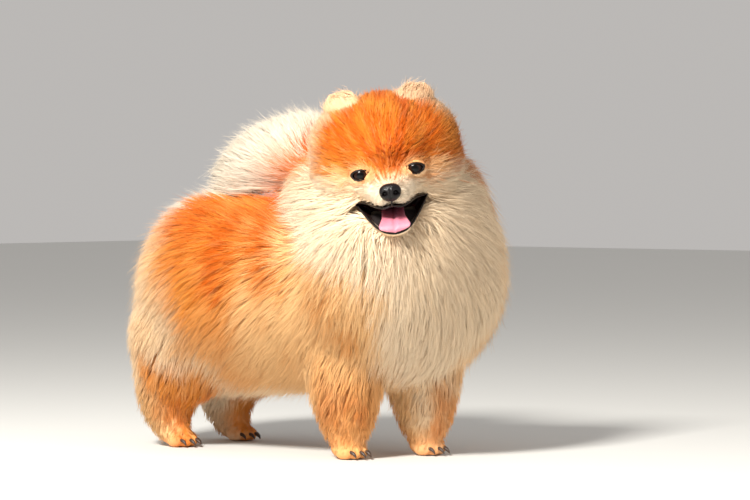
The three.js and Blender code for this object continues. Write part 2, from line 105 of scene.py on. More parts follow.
# The hide. One closed skin over head, ears, jaw, neck, body, tail, legs and feet, of thin tanned
# leather that takes the coat's colours. Rounded lengths and run-together balls are fused into
# one mesh and smoothed, under the coat's tips by about half the coat.
class Curve:
    """A smooth line through its stops, at places from 0 to 1."""

    def __init__(self, stops):
        stops = np.array(stops, float)
        before, after = 2 * stops[0] - stops[1], 2 * stops[-1] - stops[-2]
        self.stops = np.vstack([before, stops, after])

    def __call__(self, t):
        spans = len(self.stops) - 3
        t = np.clip(np.asarray(t, float), 0, 1) * spans
        i = np.minimum(t.astype(int), spans - 1)
        w = (t - i)[..., None]
        a, b, c, d = (self.stops[i + k] for k in range(4))
        ab, bc, cd = (
            np.sqrt(np.maximum(np.linalg.norm(q - p, axis=-1, keepdims=True), 1e-6))
            for p, q in ((a, b), (b, c), (c, d))
        )
        leaving = ((b - a) / ab - (c - a) / (ab + bc) + (c - b) / bc) * bc
        arriving = ((c - b) / bc - (d - b) / (bc + cd) + (d - c) / cd) * bc
        return (
            b
            + leaving * w
            + (3 * (c - b) - 2 * leaving - arriving) * w**2
            + (2 * (b - c) + leaving + arriving) * w**3
        )


def unit(v):
    return v / np.maximum(np.linalg.norm(v, axis=-1, keepdims=True), 1e-9)


class Length:
    """A rounded length of body. Each section is a middle, half width, half height and coat."""

    def __init__(self, sections, under=0, side=(1, 0, 0)):
        self.line = Curve([at for at, *_ in sections])
        least = 2 if under else 0.1
        sizes = [
            (max(w - under * coat, least), max(h - under * coat, least), i)
            for i, (_, w, h, coat) in enumerate(sections)
        ]
        self.size = Curve(sizes)
        self.side = np.array(side, float)

    def frame(self, t):
        along = unit(self.line(t + 1e-3) - self.line(t - 1e-3))
        side = unit(self.side - along * (along @ self.side)[..., None])
        return side, np.cross(along, side)

    def point(self, t, angle):
        side, up = self.frame(t)
        size = self.size(t)
        x = size[..., 0] * np.cos(angle)
        y = size[..., 1] * np.sin(angle)
        return self.line(t) + side * x[..., None] + up * y[..., None]

    def depth(self, points):
        """How far inside each point is, about, in millimetres."""
        steps = np.linspace(0, 1, 81)
        line = self.line(steps)
        t = steps[((points[:, None] - line) ** 2).sum(2).argmin(1)]
        side, up = self.frame(t)
        size = self.size(t)
        away = points - self.line(t)
        x = (away * side).sum(1) / size[:, 0]
        y = (away * up).sum(1) / size[:, 1]
        ends = (t <= 0) | (t >= 1)
        inside = (1 - np.hypot(x, y)) * size[:, :2].min(1)
        return np.where(ends, -0.4 * np.linalg.norm(away, axis=1), inside)


class Blend:
    """Balls run together into one smooth form, seen from an origin inside it."""

    def __init__(self, origin, balls, soft, pole, under=0):
        self.origin = np.array(origin, float)
        self.balls = [
            (np.array(at) - self.origin, np.array(radii) - under * coat)
            for at, radii, coat in balls
        ]
        self.soft = soft
        turn = Vector((0, 0, 1)).rotation_difference(Vector(pole).normalized())
        self.turn = np.array(turn.to_matrix())

    def reach(self, way):
        reaches = []
        for at, radii in self.balls:
            w, c = way / radii, at / radii
            b, a = w @ c, (w * w).sum(-1)
            reaches.append((b + np.sqrt(np.maximum(b * b - a * (c @ c - 1), 0))) / a)
        reaches = np.array(reaches)
        most = reaches.max(0)
        return most + self.soft * np.log(np.exp((reaches - most) / self.soft).sum(0))

    def point(self, t, angle):
        polar = np.pi * (0.004 + 0.992 * t)
        way = np.stack(
            [np.sin(polar) * np.cos(angle), np.sin(polar) * np.sin(angle), np.cos(polar)], -1
        )
        way = way @ self.turn.T
        return self.origin + way * self.reach(way)[..., None]

    def depth(self, points):
        away = points - self.origin
        return self.reach(unit(away)) - np.linalg.norm(away, axis=-1)


class Ball:
    def __init__(self, at, radii):
        self.at, self.radii = np.array(at, float), np.array(radii, float)

    def point(self, t, angle):
        polar = np.pi * (0.004 + 0.992 * t)
        way = [np.sin(polar) * np.cos(angle), np.sin(polar) * np.sin(angle), np.cos(polar)]
        return self.at + np.stack(way, -1) * self.radii


def facing_out(points, faces):
    first, second, third = (points[faces[:, k]] for k in range(3))
    return faces[:, ::-1] if (first * np.cross(second, third)).sum() < 0 else faces


def shell(form, rings, around):
    """The closed mesh of a form: its points and its triangles, facing out."""
    t, angle = np.meshgrid(
        np.linspace(0, 1, rings), np.arange(around) * 2 * np.pi / around, indexing="ij"
    )
    grid = form.point(t.ravel(), angle.ravel())
    corner = np.arange(rings * around).reshape(rings, around)
    a, b = corner[:-1], np.roll(corner, -1, 1)[:-1]
    c, d = np.roll(corner, -1, 1)[1:], corner[1:]
    faces = np.concatenate([np.stack(f, -1).reshape(-1, 3) for f in ((a, b, c), (a, c, d))])
    first, last = len(grid), len(grid) + 1
    points = np.vstack([grid, grid[:around].mean(0), grid[-around:].mean(0)])
    loop, ahead = np.arange(around), np.roll(np.arange(around), -1)
    tail = loop + (rings - 1) * around
    tail_ahead = ahead + (rings - 1) * around
    caps = [(np.full(around, first), ahead, loop), (np.full(around, last), tail, tail_ahead)]
    faces = np.vstack([faces, *[np.stack(f, -1) for f in caps]])
    return points, facing_out(points, faces)


def mesh_piece(name, points, faces):
    """A piece from points in the frame, in metres, and its triangles."""
    mesh = bpy.data.meshes.new(name)
    mesh.vertices.add(len(points))
    mesh.vertices.foreach_set("co", np.asarray(points, np.float32).ravel())
    mesh.loops.add(faces.size)
    mesh.loops.foreach_set("vertex_index", np.asarray(faces, np.int32).ravel())
    mesh.polygons.add(len(faces))
    mesh.polygons.foreach_set("loop_start", np.arange(0, faces.size, faces.shape[1], dtype=np.int32))
    mesh.polygons.foreach_set("use_smooth", np.ones(len(faces), bool))
    mesh.update(calc_edges=True)
    piece = bpy.data.objects.new(name, mesh)
    bpy.context.collection.objects.link(piece)
    return piece


def joined(shells):
    """Several shells as one set of points and triangles."""
    counts = np.cumsum([0] + [len(points) for points, _ in shells])
    faces = np.vstack([faces + first for (_, faces), first in zip(shells, counts)])
    return np.vstack([points for points, _ in shells]), faces


def finished(piece, kind, **settings):
    """Puts one of Blender's modifiers on a piece, and applies it."""
    modifier = piece.modifiers.new(kind.lower(), kind)
    for name, value in settings.items():
        setattr(modifier, name, value)
    bpy.context.view_layer.objects.active = piece
    bpy.ops.object.modifier_apply(modifier=modifier.name)
    return piece


TORSO = [
    ((0, -98, 124), 40, 44, 30),
    ((0, -72, 128), 72, 70, 46),
    ((0, -20, 128), 87, 81, 48),
    ((0, 40, 126), 91, 84, 48),
    ((0, 90, 123), 90, 86, 50),
    ((0, 130, 116), 78, 78, 48),
    ((0, 156, 110), 54, 58, 36),
    ((0, 169, 107), 26, 29, 16),
]
TAIL = [
    ((0, 110, 186), 13, 13, 4),
    ((0, 101, 208), 20, 20, 16),
    ((1, 82, 222), 30, 29, 24),
    ((3, 54, 233), 38, 35, 32),
    ((5, 18, 239), 40, 37, 34),
    ((6, -14, 237), 29, 28, 26),
    ((6, -32, 235), 12, 12, 12),
]
FORELEG = [
    ((0, 6, 112), 30, 32, 14),
    ((0, 4, 84), 32, 34, 16),
    ((0, 2, 58), 31, 33, 16),
    ((0, 1, 36), 26, 28, 12),
    ((0, 0, 18), 18, 20, 6),
    ((0, -1, 8), 12, 13, 2),
]
HINDLEG = [
    ((0, -12, 108), 36, 50, 20),
    ((0, -5, 80), 38, 52, 22),
    ((0, 6, 54), 33, 40, 20),
    ((0, 11, 34), 25, 28, 12),
    ((0, 7, 17), 17, 19, 6),
    ((0, 2, 8), 12, 13, 2),
]
PAWS = {
    "front_right": (-33, -57),
    "front_left": (33, -82),
    "hind_right": (-38, 120),
    "hind_left": (36, 122),
}
RUFF = {
    "origin": (0, -70, 160),
    "balls": [
        ((10, -73, 142), (100, 83, 93), 50),
        ((8, -40, 174), (70, 56, 62), 28),
        ((29, -91, 200), (47, 47, 48), 26),
        ((-20, -33, 198), (46, 46, 44), 26),
    ],
    "soft": 5,
    "pole": (-0.6, -0.45, 0.66),
}
SKULL = {
    "origin": (0, -12, -4),
    "balls": [
        ((0, 6, 17), (46, 44, 45), 13),
        ((24, 10, 2), (38, 32, 39), 22),
        ((-24, 10, 2), (38, 32, 39), 22),
        ((20, 8, 20), (40, 31, 38), 13),
        ((-20, 8, 20), (40, 31, 38), 13),
        ((0, -12, -6), (32, 27, 23), 6),
        ((0, -28, -11), (16, 35, 12), 3.6),
        ((6.5, -50, -17.5), (9, 11.5, 8), 2.2),
        ((-6.5, -50, -17.5), (9, 11.5, 8), 2.2),
    ],
    "soft": 1.6,
    "pole": (0, -1, 0),
}
MOUTH = [
    ((0, -14, -25), 27, 2, 0),
    ((0, -30, -28), 27, 6, 0),
    ((0, -46, -33.5), 24, 8.5, 0),
    ((0, -72, -38), 26, 11, 0),
]
JAW = [
    ((0, -2, -34), 20, 9, 2),
    ((0, -22, -38), 20, 8.5, 2),
    ((0, -40, -43), 14, 6, 1.6),
    ((0, -50, -44.5), 9, 4.2, 1),
    ((0, -53, -44.5), 5, 2.5, 0.6),
]
EAR = [
    ((24, 1, 34), 14, 8, 1.6),
    ((27, 0, 46), 16, 7, 1.6),
    ((29.5, -1, 57), 15, 6, 1.6),
    ((31, -2, 64), 8, 3.5, 1),
]
EAR_FLARE = math.radians(22)
PAD_UNDER_FOOT = ((0, 1, 8.5), (12.5, 14, 10))
TOES = [(-9, -4), (-3.3, -9), (3.3, -9), (9, -4)]


def legged(name):
    sections = HINDLEG if name.startswith("hind") else FORELEG
    x, y = PAWS[name]
    return [((at[0] + x, at[1] + y, at[2]), *size) for at, *size in sections]


def ear_sections(s, forward=0, narrower=0, raised=0):
    return [
        ((x * s, y - forward, z + raised), w - narrower, h, coat)
        for (x, y, z), w, h, coat in EAR
    ]


def ear_side(s):
    return (math.cos(EAR_FLARE), math.sin(EAR_FLARE) * s, 0)


def on_head(shape):
    points, faces = shape
    return on_drawing(points), faces


EYE_OPEN = (6.3, 3.5)  # half the width and height of the eye's opening, in millimetres


def eye_ways(s):
    """Across the eye, out of it and up, on the head's drawing."""
    turn = math.radians(4) * s
    across = np.array([math.cos(turn), math.sin(turn), 0])
    return across, np.array([math.sin(turn), -math.cos(turn), 0]), np.array([0, 0, 1.0])


SKIN_SHARE = 0.55  # the skin's depth under the coat's tips, as a share of the coat
SOCKET = (9.6, 9.6, 9.6)
FACE_VOXEL, SKIN_VOXEL = 1.3, 1.5
muzzle_forms = [
    shell(Blend(**SKULL, under=SKIN_SHARE), 90, 96),
    *[shell(Ball(EYE_AT * (s, 1, 1), SOCKET), 24, 32) for s in (-1, 1)],
]
face = mesh_piece("face", *joined(muzzle_forms))
finished(face, "REMESH", mode="VOXEL", voxel_size=FACE_VOXEL)
mouth_cut = mesh_piece("mouth_cut", *shell(Length(MOUTH), 24, 32))
finished(face, "BOOLEAN", operation="DIFFERENCE", object=mouth_cut, solver="EXACT")
finished(face, "TRIANGULATE")


def points_of(piece):
    points = np.empty(len(piece.data.vertices) * 3, np.float32)
    piece.data.vertices.foreach_get("co", points)
    return points.reshape(-1, 3).astype(float)


def triangles_of(piece):
    corners = np.empty(len(piece.data.loops), np.int32)
    piece.data.loops.foreach_get("vertex_index", corners)
    return corners.reshape(-1, 3)


# The hide's rear closes a little further in than the coat's.
HIDE_REAR = [((0, 148, 111), 56, 58, 36), ((0, 156, 109), 26, 29, 16)]
hide_forms = [
    on_head((points_of(face), triangles_of(face))),
    on_head(shell(Length(JAW, SKIN_SHARE), 24, 28)),
    shell(Blend(**RUFF, under=SKIN_SHARE), 90, 90),
    shell(Length(TORSO[:-2] + HIDE_REAR, SKIN_SHARE), 70, 72),
    shell(Length(TAIL, SKIN_SHARE), 50, 36),
]
for name, (x, y) in PAWS.items():
    (px, py, pz), radii = PAD_UNDER_FOOT
    hide_forms.append(shell(Length(legged(name), SKIN_SHARE), 50, 36))
    hide_forms.append(shell(Ball((px + x, py + y, pz), np.subtract(radii, 1)), 16, 20))
    for tx, ty in TOES:
        hide_forms.append(shell(Ball((tx + x, ty + y, 5.4), (4.2, 8.4, 5.6)), 12, 14))
for piece in (face, mouth_cut):
    bpy.data.objects.remove(piece)
for s in (-1, 1):
    ear = mesh_piece("ear", *shell(Length(ear_sections(s), SKIN_SHARE, ear_side(s)), 30, 30))
    cup_sections = ear_sections(s, forward=5.2, narrower=3, raised=3)
    cup = mesh_piece("cup", *shell(Length(cup_sections, 0, ear_side(s)), 24, 28))
    finished(ear, "BOOLEAN", operation="DIFFERENCE", object=cup, solver="EXACT")
    finished(ear, "TRIANGULATE")
    hide_forms.append(on_head((points_of(ear), triangles_of(ear))))
    for piece in (ear, cup):
        bpy.data.objects.remove(piece)

skin = mesh_piece("skin", *joined(hide_forms))
finished(skin, "REMESH", mode="VOXEL", voxel_size=SKIN_VOXEL)
finished(skin, "SMOOTH", factor=0.5, iterations=3)
finished(skin, "TRIANGULATE")
skin_points = points_of(skin)
for s in (-1, 1):
    from_eye = (skin_points - HEAD_AT) @ head_turn - EYE_AT * (s, 1, 1)
    eye_x, eye_y, eye_z = (from_eye @ way for way in eye_ways(s))
    hollow = (eye_y > 0) & (np.linalg.norm(from_eye, axis=1) < 12)
    hollow &= (eye_x / EYE_OPEN[0]) ** 2 + (eye_z / EYE_OPEN[1]) ** 2 < 1.7
    behind = EYE_AT * (s, 1, 1) + unit(from_eye) * 7.4
    skin_points[hollow] = on_drawing(behind[hollow])
SOLE_HEIGHT = 0.6
skin_points[:, 2] = np.maximum(skin_points[:, 2], SOLE_HEIGHT)
skin_faces = triangles_of(skin)
skin.data.vertices.foreach_set("co", in_frame(skin_points).astype(np.float32).ravel())
skin.data.polygons.foreach_set("use_smooth", np.ones(len(skin_faces), bool))
skin.data.uv_layers.new(name="OFBake")
bpy.context.view_layer.objects.active = skin
skin.select_set(True)
bpy.ops.object.mode_set(mode="EDIT")
bpy.ops.mesh.select_all(action="SELECT")
bpy.ops.uv.smart_project(angle_limit=math.radians(66), island_margin=0.001)
bpy.ops.object.mode_set(mode="OBJECT")
skin_unwrap = np.empty(len(skin_faces) * 6, np.float32)
skin.data.uv_layers["OFBake"].data.foreach_get("uv", skin_unwrap)
skin_unwrap = skin_unwrap.reshape(-1, 3, 2)
skin_tree = BVHTree.FromPolygons(skin_points.tolist(), skin_faces.tolist())
print("skin", len(skin_faces))

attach(skin, "root")
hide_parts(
    "head", "jaw", "ear_right", "ear_left", "neck", "torso", "tail",
    "leg_front_right", "leg_front_left", "leg_hind_right", "leg_hind_left",
)


class Shade:
    """A value, colour or vector inside a material. Sums on it add the material's own nodes."""

    def __init__(self, tree, socket=None):
        self.tree, self.socket = tree, socket

    def node(self, kind, settings=None, sockets=None, out=0):
        made = self.tree.nodes.new(kind)
        for name, value in (settings or {}).items():
            setattr(made, name, value)
        for name, value in (sockets or {}).items():
            socket = made.inputs[name]
            if isinstance(value, Shade):
                self.tree.links.new(value.socket, socket)
            elif socket.type == "VECTOR" and isinstance(value, (int, float)):
                socket.default_value = (value, value, value)
            elif socket.type == "RGBA":
                socket.default_value = (*value[:3], 1)
            else:
                socket.default_value = value
        return Shade(self.tree, made.outputs[out])

    def sum(self, operation, *terms, out=0):
        vector = any(isinstance(t, Shade) and t.socket.type == "VECTOR" for t in terms)
        kind = "ShaderNodeVectorMath" if vector else "ShaderNodeMath"
        return self.node(kind, {"operation": operation}, dict(enumerate(terms)), out)

    def __add__(self, other):
        return self.sum("ADD", self, other)

    def __radd__(self, other):
        return self.sum("ADD", other, self)

    def __sub__(self, other):
        return self.sum("SUBTRACT", self, other)

    def __rsub__(self, other):
        return self.sum("SUBTRACT", other, self)

    def __mul__(self, other):
        return self.sum("MULTIPLY", self, other)

    def __rmul__(self, other):
        return self.sum("MULTIPLY", other, self)

    def __truediv__(self, other):
        return self.sum("DIVIDE", self, other)

    def __abs__(self):
        return self.sum("ABSOLUTE", self)

    def most(self, other):
        return self.sum("MAXIMUM", self, other)

    def length(self):
        return self.sum("LENGTH", self, out=1)

    def dot(self, way):
        return self.sum("DOT_PRODUCT", self, tuple(float(x) for x in way), out=1)

    def part(self, axis):
        return self.dot([float(axis == name) for name in "xyz"])

    def rise(self, low, high):
        """0 up to low, 1 from high, smooth between them."""
        places = {"Value": self, "From Min": low, "From Max": high}
        return self.node("ShaderNodeMapRange", {"interpolation_type": "SMOOTHSTEP"}, places)

    def noise(self, size, detail=2, rough=0.5):
        """Even noise from 0 to 1, whose blotches are about this size."""
        sockets = {"Vector": self, "Scale": 1 / size, "Detail": detail, "Roughness": rough}
        return self.node("ShaderNodeTexNoise", None, sockets)

    def dyed(self, first, second):
        """The first colour where this is 0, the second where it is 1."""
        sockets = {0: self, 6: first, 7: second}
        return self.node("ShaderNodeMix", {"data_type": "RGBA"}, sockets, out=2)


def material(name):
    made = bpy.data.materials.new(name)
    made.use_nodes = True
    return made, Shade(made.node_tree), made.node_tree.nodes["Principled BSDF"]


def finish_of(shade, principled, colour, roughness, bump=None, **fixed):
    """Joins what varies to the finish, and sets what is the same all over."""
    for socket, value in (("Base Color", colour), ("Roughness", roughness)):
        if isinstance(value, Shade):
            shade.tree.links.new(value.socket, principled.inputs[socket])
        elif isinstance(value, tuple):
            principled.inputs[socket].default_value = (*value, 1)
        else:
            principled.inputs[socket].default_value = value
    if bump is not None:
        height, depth = bump
        sockets = {"Height": height, "Distance": depth, "Strength": 1.0}
        normal = shade.node("ShaderNodeBump", None, sockets)
        shade.tree.links.new(normal.socket, principled.inputs["Normal"])
    for socket, value in fixed.items():
        principled.inputs[socket.replace("_", " ")].default_value = value


def dye(red, green, blue):
    """A colour as it looks on a screen, 0 to 255, turned into light."""
    return tuple((v / 255) ** 2.2 for v in (red, green, blue))


DEEP_ORANGE = dye(208, 92, 16)
ORANGE = dye(234, 140, 52)
PEACH = dye(249, 197, 138)
CREAM = dye(252, 226, 192)
WHITE = dye(240, 228, 208)
UMBER = dye(150, 92, 52)
RUST = dye(146, 70, 18)
EAR_CREAM = dye(240, 198, 158)
MUZZLE_CREAM = dye(252, 232, 204)
# painted shade: the near-black inside the open mouth
PAINTED_MOUTH_SHADE = dye(26, 11, 11)


def drawing_place(place):
    """A place in the frame, in millimetres on the drawing."""
    return (place - tuple(float(x) for x in drawing_at)) * 1000


def seen_from_head(place):
    """A place on the drawing from the head's middle, and its x, y and z on the head's own."""
    from_head = place - tuple(HEAD_AT)
    return from_head, *(from_head.dot(head_turn[:, k]) for k in range(3))


def markings(place):
    """The coat's colour at a place on the drawing: orange over cream, with a white plume, and painted
    light and shade on the face.
    """
    x, y, z = (place.part(axis) for axis in "xyz")
    from_head, hx, hy, hz = seen_from_head(place)
    blotch = place.noise(48, 3) - 0.5
    streak = (place * (1.0, 0.35, 0.5)).noise(12, 3) - 0.5
    lock_streak = (place * (1.0, 0.4, 0.4)).noise(5, 2) - 0.5

    side = (y + 0.5 * abs(x) + 70 * blotch + 60 * streak).rise(-106, -62)
    colour = (side * (1 - 0.5 * z.rise(178, 206))).dyed(CREAM, PEACH)
    back = (y + 90 * blotch + 60 * streak + 0.5 * (z - 150)).rise(-44, 16)
    rump = (y + 60 * blotch + 50 * streak + 0.5 * (150 - z)).rise(62, 108)
    orange = back * (1 - 0.9 * rump) * (0.55 + 0.45 * z.rise(90, 150))
    colour = (orange * (0.95 + 0.9 * lock_streak)).dyed(colour, ORANGE)
    colour = (rump * (0.55 + streak) * z.rise(40, 80)).dyed(colour, CREAM)
    neck = y.rise(-104, -84) * (1 - y.rise(-30, -10)) * (1 - z.rise(170, 196)) * z.rise(80, 104)
    colour = (neck * (streak + blotch + lock_streak).rise(0.02, 0.3) * 0.7).dyed(colour, ORANGE)
    deep = (streak + blotch + 0.6 * lock_streak + 0.004 * (z - 140)).rise(-0.04, 0.28) * orange
    colour = deep.dyed(colour, DEEP_ORANGE)
    leg = (1 - (z + 70 * streak + 60 * blotch).rise(52, 112)) * (y + 40 * blotch).rise(-114, -96)
    leg = leg * (abs(x) + 20 * streak).rise(14, 26) * (1 - (y + 60 * streak + 40 * blotch).rise(112, 146))
    leg = leg * (1 - 0.8 * (y + 40 * streak).rise(-48, -36) * (1 - y.rise(60, 84)))
    leg = leg * (0.6 + 0.4 * y.rise(-40, 60))
    colour = (leg * (0.9 + lock_streak)).dyed(colour, ORANGE)
    colour = (leg * (streak + blotch).rise(-0.04, 0.24) * 0.6).dyed(colour, DEEP_ORANGE)
    inner = (1 - (abs(x) + 20 * streak).rise(16, 30)) * (1 - z.rise(60, 90)) * y.rise(-30, 10)
    colour = inner.dyed(colour, CREAM)

    plume = (z + 0.36 * y + 24 * streak + 16 * lock_streak).rise(216, 240) * y.rise(-60, -48)
    colour = plume.dyed(colour, WHITE)

    by_head = 1 - ((from_head - (0, 0, 8)) / (88, 80, 74)).length().rise(0.86, 1.04)
    by_head = by_head * (1 - hy.rise(44, 56))
    wide = abs(hx)
    ray = hx.node("ShaderNodeCombineXYZ", None, {
        0: 8 * hx.sum("ARCTAN2", hx, hz + 14), 1: 0.03 * from_head.length(), 2: 0.02 * hy,
    }).noise(1, 3) - 0.5
    right_edge = (hx - 46).most(0) * 1.8
    cap_line = hz - 0.16 * wide + 6 + right_edge + 26 * ray + 8 * lock_streak
    cap = cap_line.rise(-9, 7) * (1 - 0.85 * (24 * ray - hx).rise(34, 58))
    crown = (1.4 * ray + streak + 0.6 * blotch + 0.006 * (26 - wide)).rise(-0.24, 0.3)
    crown = crown.dyed(ORANGE, DEEP_ORANGE)
    # Rust between and above the eyes: darker hair, with painted shade under the brow. A little rust over
    # the whole crown is painted shade on the top of the head.
    brow_hair_and_shade = 1 - ((from_head - tuple(head_turn @ (0, -34, 9))) / (14, 20, 16)).length().rise(0.3, 1.0)
    crown = (brow_hair_and_shade * (0.62 + ray)).most(0.16).dyed(crown, RUST)
    face = cap.dyed(CREAM, crown)
    # Painted light: the dog's right cheek, on the bright lamp's side, is made paler, nearly white.
    pale = (-1 * hx - 20 * ray).rise(20, 44) * (1 - (hz + 20 * ray).rise(-8, 6))
    face = (pale * 0.6).dyed(face, MUZZLE_CREAM)
    tears = 1 - ((wide - 29) / 9).sum("POWER", (wide - 29) / 9, 2) - 0.02 * (hz + 9) * (hz + 9)
    face = (tears.rise(0, 1) * (0.5 + 1.5 * ray) * (1 - hy.rise(-22, -14))).dyed(face, ORANGE)
    by_eye = 1 - ((wide - 20.4) * (wide - 20.4) * 0.008 + hz * hz * 0.016).rise(0.5, 1.1)
    face = (by_eye * 0.55 * (1 - hy.rise(-20, -12))).dyed(face, PEACH)
    muzzle = (1 - (hy + 10 * streak).rise(-46, -28)) * (1 - (hz - 12 * lock_streak).rise(-15, -3))
    face = muzzle.dyed(face, MUZZLE_CREAM)
    spots = place.noise(1.3, 1).rise(0.62, 0.7) * (1 - hz.rise(-20, -16)) * (1 - hy.rise(-50, -44))
    face = (spots * 0.4).dyed(face, UMBER)
    ears = (hz + 0.95 * wide + 18 * ray + 8 * streak).rise(62, 76) * hz.rise(8, 22)
    face = (ears * 0.95).dyed(face, EAR_CREAM)
    return by_head.dyed(colour, face)


def in_mouth(place):
    """1 between the lips, at a place on the drawing."""
    hx, hy, hz = seen_from_head(place)[1:]
    above_lip = hz - 0.045 * hx.sum("POWER", abs(hx), 1.9) + 45.6
    between = above_lip.rise(-0.5, 0.5) * (1 - hz.rise(-24.5, -23)) * (1 - abs(hx).rise(25, 28))
    return between * (1 - (hy - 0.9 * abs(hx)).rise(-34, -4))


skin_look, shade, principled = material("hide")
object_place = shade.node("ShaderNodeTexCoord", out="Object")
place = drawing_place(object_place)
hair_bump = (place * (1.0, 0.3, 0.3)).noise(1.1, 2)
hide_colour = (place.noise(3, 2) * 0.25).dyed(markings(place), UMBER)
# Painted shade: the hide between the lips is near black, as inside the open mouth.
hide_colour = in_mouth(place).dyed(hide_colour, PAINTED_MOUTH_SHADE)
finish_of(shade, principled, hide_colour, 0.8, bump=(hair_bump, 0.0006))
skin.data.materials.append(skin_look)


# The eyes. Moist balls, nearly black, with a dark brown iris under a raised clear front. On a
# museum's model they are glass, coloured from behind and set into the hollows of the hide.
def eye_place(s, x, z, radius):
    """A place on a ball about the eye, seen from the front at x and z."""
    across, ahead, up = eye_ways(s)
    y = np.sqrt(np.maximum(radius**2 - x**2 - z**2, 0.01))
    return EYE_AT * (s, 1, 1) + np.outer(x, across) + np.outer(y, ahead) + np.outer(z, up)


eye_look, shade, principled = material("eye")
sight = shade.node("ShaderNodeAttribute", {"attribute_name": "sight"}, out="Fac")
iris = sight.rise(0.5, 0.54) * (1 - sight.rise(0.96, 1.0))
fibres = drawing_place(shade.node("ShaderNodeTexCoord", out="Object")).noise(0.7, 3)
iris_colour = fibres.dyed(dye(24, 11, 6), dye(46, 22, 10))
eye_colour = iris.dyed(dye(8, 5, 5), iris_colour)
finish_of(
    shade, principled, eye_colour, 0.25 + 0.1 * iris, Coat_Weight=0.32, Coat_Roughness=0.03,
    Specular_IOR_Level=0.1,
)
for side, s in (("right", -1), ("left", 1)):
    ball, faces = shell(Ball((0, 0, 0), (1, 1, 1)), 48, 64)
    ahead = eye_ways(s)[1]
    angle = np.arccos(np.clip(unit(ball) @ ahead, -1, 1))
    bulge = 8.7 + 0.55 * np.exp(-((angle / 0.5) ** 4))
    eye = mesh_piece(
        f"eyeball_{side}",
        in_frame(on_drawing(EYE_AT * (s, 1, 1) + unit(ball) * bulge[:, None])),
        faces,
    )
    held = eye.data.attributes.new("sight", "FLOAT", "POINT")
    held.data.foreach_set("value", np.clip(angle / 0.62, 0, 1).astype(np.float32))
    eye.data.materials.append(eye_look)
    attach(eye, "root")
    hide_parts(f"eye_{side}")

# The lids. A rolled rim of bare black skin round each eye, a little wider above. It is fixed
# between the glass and the hide, and covers the edge of the hollow.
rim_look, shade, principled = material("bare_rim")
place = drawing_place(shade.node("ShaderNodeTexCoord", out="Object"))
grain = place.noise(0.6, 3)
rim_colour = grain.dyed(dye(12, 9, 8), dye(34, 24, 22))
finish_of(
    shade, principled, rim_colour, 0.34 + 0.2 * grain, bump=(grain, 0.00015), Specular_IOR_Level=0.3
)
LID_ROWS = [(1.0, 8.7), (0.99, 9.2), (1.03, 9.7), (1.12, 10.0), (1.24, 9.9), (1.34, 9.2), (1.2, 8.5)]
for side, s in (("right", -1), ("left", 1)):
    turn = np.arange(64) * 2 * np.pi / 64
    high = np.where(np.sin(turn) > 0, 1.0, 0.94) * EYE_OPEN[1]
    rows = []
    for grow_by, radius in LID_ROWS:
        spread = 1 + (grow_by - 1) * np.where(np.sin(turn) > 0, 1.15, 0.8)
        x = EYE_OPEN[0] * np.cos(turn) * spread
        z = high * np.sin(turn) * np.abs(np.sin(turn)) ** 0.12 * spread
        rows.append(eye_place(s, x, z, radius))
    corner = np.arange(len(rows) * 64).reshape(-1, 64)
    a, b = corner, np.roll(corner, -1, 1)
    c, d = np.roll(b, -1, 0), np.roll(corner, -1, 0)
    quads = np.stack([a, b, c, d], -1).reshape(-1, 4)
    rows = on_drawing(np.vstack(rows))
    lids = mesh_piece(f"lids_{side}", in_frame(rows), facing_out(rows - rows.mean(0), quads))
    lids.data.materials.append(rim_look)
    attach(lids, "root")

# The nose. Moist black leather with a fine pebbled grain, two comma-shaped nostrils and a groove
# down its middle. It is carved in one piece, and sits on the end of the muzzle.
NOSE_AT = np.array([0, -62.5, -13.5])
nose, faces = shell(Ball((0, 0, 0), (1, 1, 1)), 90, 110)
nose = unit(nose)
nose = np.sign(nose) * np.abs(nose) ** 0.92 * (8.3, 6, 6.9)
nose[:, 0] *= 1 + 0.1 * np.clip(nose[:, 2] / 6.9, -1, 1)
front = nose[:, 1] < 0
for s in (-1, 1):
    hole = ((nose[:, 0] - 4.1 * s) / 1.8) ** 2 + ((nose[:, 2] + 0.4) / 1.7) ** 2
    slit = ((nose[:, 0] - 6.5 * s) / 2.2) ** 2 + ((nose[:, 2] + 1.3) / 0.7) ** 2
    nose[:, 1] += front * (3.4 * np.exp(-(hole**2)) + 1.8 * np.exp(-(slit**2)))
groove = np.exp(-((nose[:, 0] / 0.45) ** 2)) * (1 - np.clip((nose[:, 2] - 1) / 3, 0, 1))
nose[:, 1] += front * 0.8 * groove
nose_piece = mesh_piece("nose_tip", in_frame(on_drawing(nose + NOSE_AT)), faces)
nose_look, shade, principled = material("nose_leather")
place = drawing_place(shade.node("ShaderNodeTexCoord", out="Object"))
pebbles = shade.node(
    "ShaderNodeTexVoronoi", {"feature": "SMOOTH_F1"}, {"Vector": place, "Scale": 1.6}
)
patches = place.noise(3, 3)
nose_colour = patches.dyed(dye(9, 8, 9), dye(30, 26, 27))
finish_of(
    shade, principled, nose_colour, 0.24 + 0.16 * patches, bump=(pebbles, 0.00022),
    Specular_IOR_Level=0.3,
)
nose_piece.data.materials.append(nose_look)
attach(nose_piece, "root")
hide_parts("nose")

# The mouth. Open and smiling: black lips rolled along both edges, a moist lining between them that
# closes the throat, near black as painted shade, and a dark seam from the nose down to the upper lip.
UPPER_LIP = [
    (28, -17, -21.9), (23, -23, -21.9), (18.5, -30, -22.5), (15.5, -40, -23.2), (12.5, -50, -24),
    (6, -57.5, -25.4), (0, -59, -24),
]
LOWER_LIP = [
    (28, -17, -21.9), (25.5, -22, -25.5), (21.5, -29, -31), (17, -37, -36.5), (12.5, -44.5, -41),
    (7.5, -50.5, -44), (0, -53.5, -45.3),
]


def both_halves(half):
    return half + [(-x, y, z) for x, y, z in half[-2::-1]]


